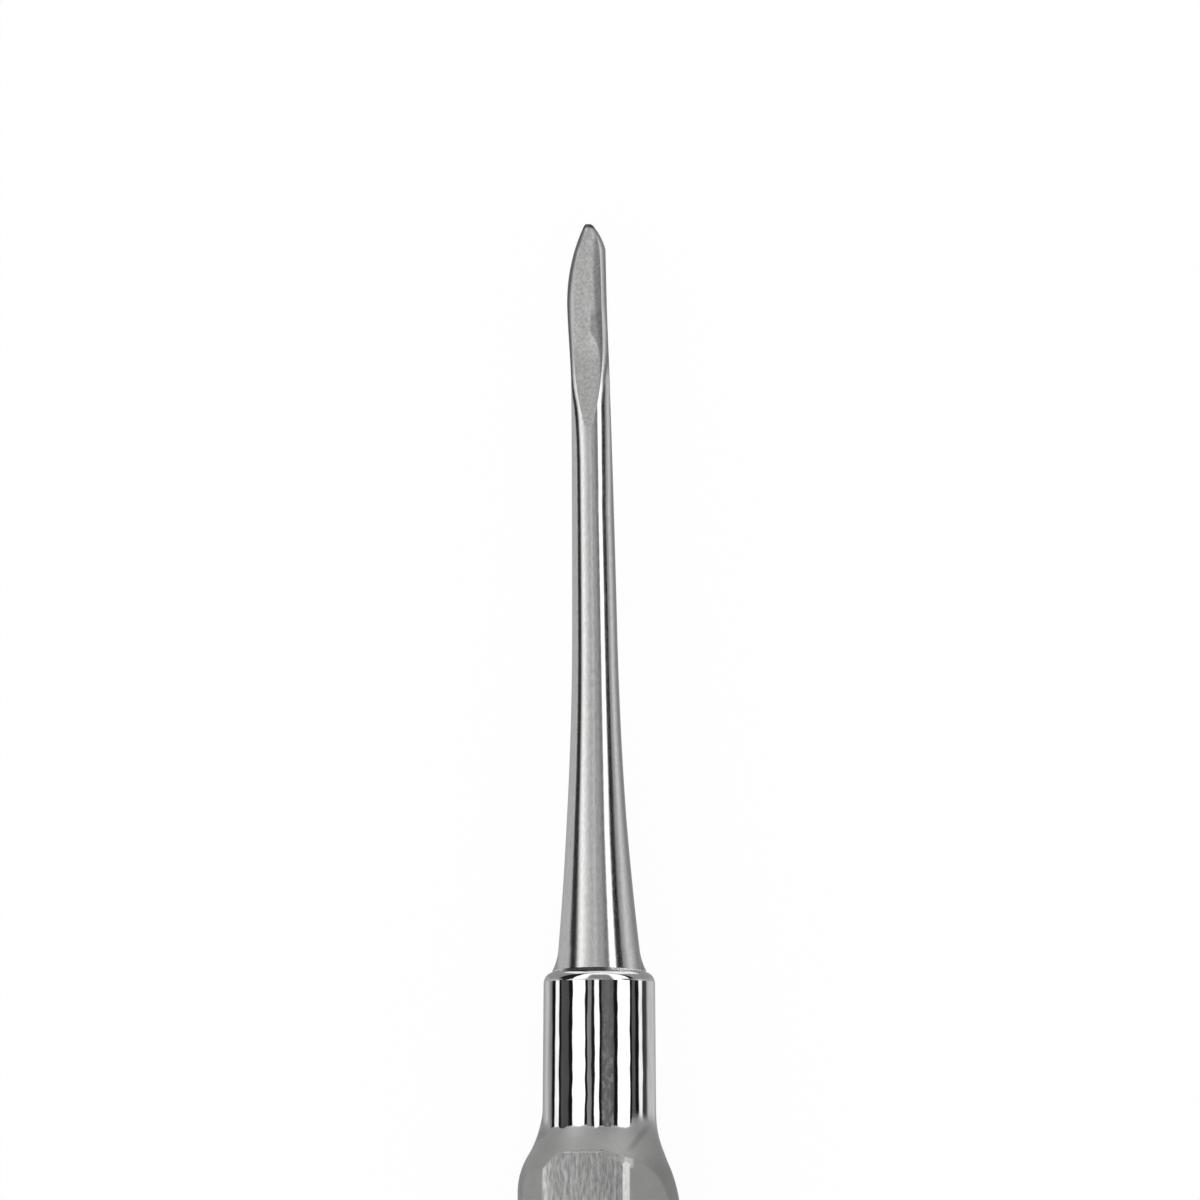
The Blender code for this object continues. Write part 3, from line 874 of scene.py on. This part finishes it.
def polished_material(colour):
    """Fine lengthwise polish of the shank, foot and blade rim, with painted shade at the tip and on
    faces turned far to the right.
    """
    sheet, place = new_steel("polished_shank")
    station = TIP_Y * 1000.0 - place[1]
    grain = sheet.grain(place, 8.0, 2.0, detail=3.0)
    mottle = sheet.grain(place, 2.2, 0.5)
    side = sheet.side()
    # Painted shade: faces turned far to the right, near the outline, are darkened by up to half.
    dull = sheet.step(side, 0.84, 0.94) * 0.5
    # Painted shade: the colour darkens towards the very tip, within half a millimetre of it.
    tip = sheet.step(station, 0.42, 0.16) * 0.8
    haze = sheet.step(station, 14.5, 8.5)
    shade = (0.74 + 0.44 * grain + 0.08 * mottle) * (1.0 - dull) * (1.0 - tip)
    shade = shade * (1.0 - 0.34 * haze)
    roughness = 0.12 + 0.06 * (mottle - 0.5) + 0.06 * (grain - 0.5) + 0.19 * haze
    normal = sheet.bump(grain, 0.0000012)
    return sheet.metal(sheet.shade(colour, shade), roughness, normal)


def trough_material(colour):
    """Matt ground surface of the trough, with painted shade on its right wall, on the tops of its
    walls, where it rises and at the tip.
    """
    sheet, place = new_steel("ground_trough")
    x, y, z = place
    station = TIP_Y * 1000.0 - y
    speckle = sheet.grain(place, 4.6, 4.6, detail=3.0, roughness=0.6)
    cloud = sheet.grain(place, 1.6, 1.0)
    ahead = sheet.maths("MAXIMUM", 1.0 - station / (NOSE_LENGTH * 1000.0), 0.0)
    middle = station * 0.0233 - 0.84 + ahead * ahead * (TROUGH_SWING * 1000.0)
    aside = x - middle + 0.15 * (cloud - 0.5)
    near = 0.02 + 0.055 * sheet.maths("MINIMUM", station, 6.0)
    near = near + 0.11 * sheet.maths("MAXIMUM", station - 6.0, 0.0)
    # Painted shade: a darker strip along the trough's right wall, fading out between 8.5 and 11.5 mm.
    painted_shade_band = sheet.step(aside - near, -0.08, 0.24) * sheet.step(station, 11.5, 8.5)
    painted_shade_band = painted_shade_band * sheet.step(station, 0.3, 1.0)
    # Painted shade: the tops of the trough's walls are darkened, the right wall more than the left.
    late = sheet.maths("MAXIMUM", station - 8.0, 0.0)
    rim = sheet.maths("MINIMUM", 0.84 + 0.0185 * late * late, 1.29 + 0.146 * (station - 13.2))
    wall = sheet.step(z - AXIS_HEIGHT * 1000.0 - rim, -0.08, -0.02)
    right = sheet.step(aside, 0.0, 0.2)
    grit = sheet.step(speckle, 0.34, 0.66)
    # Depth of the painted shade on the right wall, 0.42 near the tip and 0.28 further back.
    dark = sheet.step(station, 7.6, 5.6, 0.28, 0.42)
    right = right * (0.06 + 0.24 * sheet.step(station, 12.0, 10.0)) * sheet.step(station, 6.0, 7.0)
    shade = (0.90 + 0.30 * grit + 0.14 * cloud) * (1.0 - dark * painted_shade_band) * (1.0 - (0.10 + right) * wall)
    # Painted shade: darker where the trough's floor rises towards its end.
    shade = shade * (1.0 - 0.20 * sheet.step(station, 8.5, 11.0))
    # Painted shade: darker towards the very tip, as on the rim.
    shade = shade * (1.0 - 0.8 * sheet.step(station, 0.42, 0.16))
    normal = sheet.bump(speckle, 0.000012)
    return sheet.metal(sheet.shade(colour, shade), 0.56 + 0.12 * cloud, normal)


def solder_material(colours):
    """Dull solder in the seam between the foot and the neck, brighter where it lies flush at the sides:
    partly the flush seam's steel tone, partly painted light over the gap's shade.
    """
    sheet, place = new_steel("dull_solder")
    grime = sheet.grain(place, 4.0, 6.0, detail=3.0)
    normal = sheet.bump(grime, 0.00001)
    # Partly painted light: the solder is brightened up to six times at the sides, where the seam lies
    # flush, lifting the gap's shade.
    wide = sheet.step(sheet.maths("ABSOLUTE", place[0] + 0.5), 1.2, 2.4)
    shade = (0.5 + grime) * (1.0 + 5.0 * wide)
    return sheet.metal(sheet.shade(colours.solder, shade), 0.62 + 0.12 * grime, normal)


def turned_material(sizes, colours):
    """Mirror polish on the neck, up to an uneven line, and blasting on the shoulder and sides, with
    painted light and shade on the blasting.
    """
    sheet, place = new_steel("polished_and_blasted")
    x, y, z = place
    station = TIP_Y * 1000.0 - y
    turn = sheet.maths("ARCTAN2", x, z - AXIS_HEIGHT * 1000.0)
    wander = sheet.grain(place, 1.3, 0.1, detail=3.0) - 0.5
    right = sheet.step(turn, 0.72, 0.80)
    left = sheet.step(turn, -0.80, -0.90)
    limit = sizes.polish_end * 1000.0 + 0.60 * wander - 0.55 * right - 0.3 * left
    soft = 0.13 + 0.85 * right + 0.6 * left
    blasted = sheet.step((station - limit) / soft, -1.0, 1.0)
    grain = sheet.grain(place, 6.0, 0.35, detail=3.0)
    peel = sheet.grain(place, 2.4, 1.5)
    bead = sheet.grain(place, 6.5, 6.5)
    cloud = sheet.grain(place, 0.8, 0.6)
    across = x * math.cos(CAMERA_ROLL) - (z - AXIS_HEIGHT * 1000.0) * math.sin(CAMERA_ROLL)
    # Painted shade: a darker diagonal streak across the right of the shoulder's blasting.
    painted_dark_streak = across - 3.38 + (station - 67.95) * 0.7
    painted_dark_streak = sheet.step(sheet.maths("ABSOLUTE", painted_dark_streak - 0.15), 0.45, 0.05)
    painted_dark_streak = painted_dark_streak * sheet.step(station, 67.3, 68.1) * sheet.step(station, 70.1, 69.4)
    hazy = sheet.step(turn, 0.18, 0.24) * sheet.step(turn, 0.44, 0.40)
    fleck = sheet.grain(place, 3.2, 1.8, detail=3.0)
    hazy = hazy * sheet.step(station, 56.5, 66.0, 0.35, 1.0) * sheet.step(fleck, 0.38, 0.62)
    ripple = sheet.grain(place, 0.9, 0.4, detail=1.0)
    steel = sheet.shade(colours.polished, 0.64 + 0.56 * grain + 0.14 * peel)
    # Painted highlight: a slanting strip of blasting is lightened along the step above the right part
    # of the main flat's top edge.
    ahead = 69.8 + 0.47 * (across + 0.2) - station
    worn = sheet.step(ahead - 0.25 * (across + 0.2), 0.08, -0.06) * sheet.step(across, -0.2, 0.6)
    worn = worn * sheet.step(across, 2.62, 2.46) * (0.22 + 0.30 * sheet.step(across, 1.7, 2.0))
    worn = worn * sheet.step(station, 71.2, 70.9)
    # Painted light and shade: blasting that faces left is lightened, and blasting that faces right
    # behind the flat's top is darkened.
    side = sheet.side()
    lighter = sheet.step(side, -0.15, -0.55) * sheet.step(side, -0.97, -0.84)
    darker = sheet.step(side, 0.20, 0.45) * sheet.step(station, 69.6, 71.4)
    matt = (0.84 + 0.18 * bead + 0.16 * cloud) * (1.0 + 0.26 * lighter - 0.16 * darker)
    matt = sheet.shade(colours.blasted, matt * (1.0 - 0.20 * painted_dark_streak + worn))
    colour = sheet.blend(blasted, steel, matt)
    roughness = 0.02 + 0.02 * grain + 0.20 * hazy
    roughness = roughness * (1.0 - blasted) + blasted * (0.56 + 0.04 * cloud)
    fine = sheet.bump((1.0 - blasted) * (0.06 * peel + ripple), 0.000015)
    normal = sheet.bump(blasted * bead, 0.000009, fine)
    return sheet.metal(colour, roughness, normal)


def brushed_material(colours):
    """Lengthwise brushing on the main flats."""
    sheet, (x, y, z) = new_steel("brushed_flat")
    warp = sheet.noise(sheet.vector(x * 0.5, y * 0.5, z)) * 0.25
    across = x + warp
    fine = sheet.noise(sheet.vector(across * 7.0, y * 1.3, z), detail=3.0, roughness=0.65)
    broad = sheet.noise(sheet.vector(across * 2.6, y * 0.28, z + 9.0), detail=2.0)
    deep = sheet.noise(sheet.vector(across * 4.5, y * 0.42, z + 20.0), detail=2.0)
    bright = sheet.step(deep, 0.54, 0.66)
    dark = sheet.step(deep, 0.46, 0.34)
    scratched = sheet.step(fine, 0.34, 0.66)
    shade = 0.64 + 0.44 * scratched + 0.12 * broad + 0.20 * bright - 0.12 * dark
    # Painted shade darkens the flat towards its right side; a lighter line runs along its left edge.
    shade = shade * (1.0 - 0.16 * sheet.step(x, -1.8, 2.0)) + 0.28 * sheet.step(x, -2.9, -3.5)
    normal = sheet.bump(fine + 0.6 * broad + 0.6 * bright, 0.000008)
    return sheet.metal(sheet.shade(colours.brushed, shade), 0.42 + 0.08 * fine, normal)


def bevel_material(colours):
    """Bright worn polish on the bevel strips and broken edges."""
    sheet, place = new_steel("bright_bevel")
    wear = sheet.grain(place, 5.0, 2.2, detail=3.0, roughness=0.6)
    shade = 0.58 + 0.60 * wear
    normal = sheet.bump(wear, 0.000004)
    return sheet.metal(sheet.shade(colours.bevel, shade), 0.26 + 0.10 * wear, normal)


class PICK_OT_working_end(bpy.types.Operator):
    """Make the scooped blade, round shank and foot"""

    bl_idname = "pick.working_end"
    bl_label = "Working end"

    def execute(self, context):
        sizes, colours = context.scene.pick_sizes, context.scene.pick_colours
        shape = WorkingEndShape(sizes)
        mesh = shape.body()
        mesh.materials.append(polished_material(colours.shank))
        mesh.materials.append(solder_material(colours))
        wheel_mesh = shape.trough()
        wheel_mesh.materials.append(trough_material(colours.trough))
        wheel = bpy.data.objects.new("trough_wheel", wheel_mesh)
        body = bpy.data.objects.new("working_end_body", mesh)
        for item in (wheel, body):
            context.scene.collection.objects.link(item)
        grind = body.modifiers.new("grind", "BOOLEAN")
        grind.object = wheel
        grind.solver = "EXACT"
        grind.material_mode = "TRANSFER"
        context.view_layer.update()
        graph = context.evaluated_depsgraph_get()
        finished = bpy.data.meshes.new_from_object(body.evaluated_get(graph))
        finished.name = "ground_working_end"
        for item in (wheel, body):
            bpy.data.objects.remove(item)
        finished.shade_smooth()
        finished.set_sharp_from_angle(angle=math.radians(32))
        if len(finished.materials) != 3:
            raise RuntimeError("the trough was not ground into the blade")
        shape.lap(finished)
        add_piece("ground_working_end", finished, "polished_steel", "working_end")
        return {"FINISHED"}


class PICK_OT_handle(bpy.types.Operator):
    """Make the polished neck, blasted shoulder and ground grip"""

    bl_idname = "pick.handle"
    bl_label = "Handle"

    def execute(self, context):
        sizes, colours = context.scene.pick_sizes, context.scene.pick_colours
        shape = HandleShape(sizes)
        mesh, kinds = shape.mesh()
        mesh.materials.append(turned_material(sizes, colours))
        mesh.materials.append(brushed_material(colours))
        mesh.materials.append(bevel_material(colours))
        slot_of_kind = np.array([0, 1, 2, 2, 2])
        mesh.polygons.foreach_set("material_index", slot_of_kind[kinds].astype(np.int32))
        mesh.shade_smooth()
        mesh.set_sharp_from_angle(angle=math.radians(18))
        shape.lap(mesh)
        add_piece("ground_handle", mesh, "satin_steel", "handle")
        return {"FINISHED"}


class PICK_OT_stage(bpy.types.Operator):
    """Set the pale floor, the studio light and the camera"""

    bl_idname = "pick.stage"
    bl_label = "Stage"

    def execute(self, context):
        scene = context.scene
        scene.view_settings.view_transform = "Standard"
        self.lay_floor(scene)
        self.light_studio(scene)
        self.place_camera(scene)
        return {"FINISHED"}

    def lay_floor(self, scene):
        mesh = bpy.data.meshes.new("floor")
        signs = ((-1, -1), (1, -1), (1, 1), (-1, 1))
        corners = [(x * FLOOR_REACH, y * FLOOR_REACH, 0) for x, y in signs]
        mesh.from_pydata(corners, [], [(0, 1, 2, 3)])
        floor = bpy.data.objects.new("floor", mesh)
        scene.collection.objects.link(floor)
        floor.visible_glossy = False
        material = bpy.data.materials.new("pale_floor")
        sheet = Sheet(material)
        paper = sheet.node("ShaderNodeBsdfDiffuse", None, {"Color": scene.pick_colours.backdrop})
        glow = sheet.node("ShaderNodeEmission", None, {"Strength": 1.0})
        seen = sheet.node("ShaderNodeLightPath", out="Is Camera Ray")
        mixed = sheet.node("ShaderNodeMixShader", None, {0: seen * 0.95, 1: paper, 2: glow})
        sheet.finish("ShaderNodeOutputMaterial", mixed)
        mesh.materials.append(material)

    def light_studio(self, scene):
        world = bpy.data.worlds.new("studio")
        scene.world = world
        world.cycles.sampling_method = "NONE"
        sheet = Sheet(world)
        x, y, z = sheet.split(sheet.node("ShaderNodeTexCoord", out="Generated"))
        turn = sheet.maths("ARCTAN2", x, z) * math.degrees(1.0) - math.degrees(CAMERA_ROLL)

        def ring(stops, angle=turn):
            span = stops[-1][0] - stops[0][0]
            places = [((degrees - stops[0][0]) / span, level) for degrees, level in stops]
            share = (angle - stops[0][0]) / span
            return sheet.node("ShaderNodeValToRGB", {"stops": places}, {0: share})

        right_side = sheet.maths("GREATER_THAN", turn, NECK_TURN)
        neck = sheet.blend(right_side, ring(NECK_LEFT_STUDIO), ring(NECK_RIGHT_STUDIO))
        lift = sheet.maths("ARCSINE", y) * math.degrees(1.0)
        narrowed = turn * sheet.step(lift, 9.0, 13.0, 1.0, 1.10)
        shank = ring(SHANK_STUDIO, narrowed)
        strips = sheet.blend(sheet.step(lift, *SHANK_LIFT), neck, shank)
        strips = sheet.blend(sheet.step(lift, *EDGE_LIFT), strips, ring(EDGE_STUDIO))
        strips = sheet.blend(sheet.step(lift, *FRONT_LIFT), strips, ring(FRONT_STUDIO))
        below = sheet.step(z, 0.05, -0.05) * sheet.step(y, 0.25, 0.4)
        ahead = sheet.step(sheet.maths("ABSOLUTE", x), 0.52, 0.42) * sheet.step(y, 0.64, 0.74)
        strips = sheet.blend(below, strips, 0.36 + 0.84 * ahead)
        glossy = sheet.node("ShaderNodeLightPath", out="Is Glossy Ray")
        colour = sheet.blend(glossy, (1.0, 1.0, 1.0), strips)
        light = sheet.node("ShaderNodeBackground", None, {"Color": colour, "Strength": 1.0})
        sheet.finish("ShaderNodeOutputWorld", light)

    def place_camera(self, scene):
        data = bpy.data.cameras.new("camera")
        data.lens = CAMERA_LENS
        data.sensor_width = 36.0
        data.clip_end = 10.0
        camera = bpy.data.objects.new("camera", data)
        scene.collection.objects.link(camera)
        scene.camera = camera
        back = Vector((math.sin(CAMERA_ROLL), -math.tan(CAMERA_TILT), math.cos(CAMERA_ROLL)))
        back.normalize()
        up = (Vector((0, 1, 0)) - back * back.y).normalized()
        right = up.cross(back)
        turned = Matrix((right, up, back)).transposed().to_4x4()
        camera.matrix_world = Matrix.Translation(CAMERA_TARGET + back * CAMERA_DISTANCE) @ turned


class PICK_PT_panel(bpy.types.Panel):
    """Sizes, colours and steps of the root tip pick"""

    bl_idname = "PICK_PT_panel"
    bl_label = "Root Tip Pick"
    bl_space_type = "VIEW_3D"
    bl_region_type = "UI"
    bl_category = "Root Tip Pick"

    def draw(self, context):
        for group in (context.scene.pick_sizes, context.scene.pick_colours):
            box = self.layout.box()
            for name in group.__annotations__:
                box.prop(group, name)
        for operator in OPERATORS:
            self.layout.operator(operator.bl_idname)


OPERATORS = (PICK_OT_stage, PICK_OT_working_end, PICK_OT_handle)
CLASSES = (PickSizes, PickColours, *OPERATORS, PICK_PT_panel)


def register():
    for item in CLASSES:
        bpy.utils.register_class(item)
    bpy.types.Scene.pick_sizes = bpy.props.PointerProperty(type=PickSizes)
    bpy.types.Scene.pick_colours = bpy.props.PointerProperty(type=PickColours)


def unregister():
    del bpy.types.Scene.pick_colours
    del bpy.types.Scene.pick_sizes
    for item in reversed(CLASSES):
        bpy.utils.unregister_class(item)


def main():
    register()
    bpy.ops.pick.stage()
    bpy.ops.pick.working_end()
    bpy.ops.pick.handle()
    bpy.context.view_layer.update()


if __name__ == "__main__":
    main()
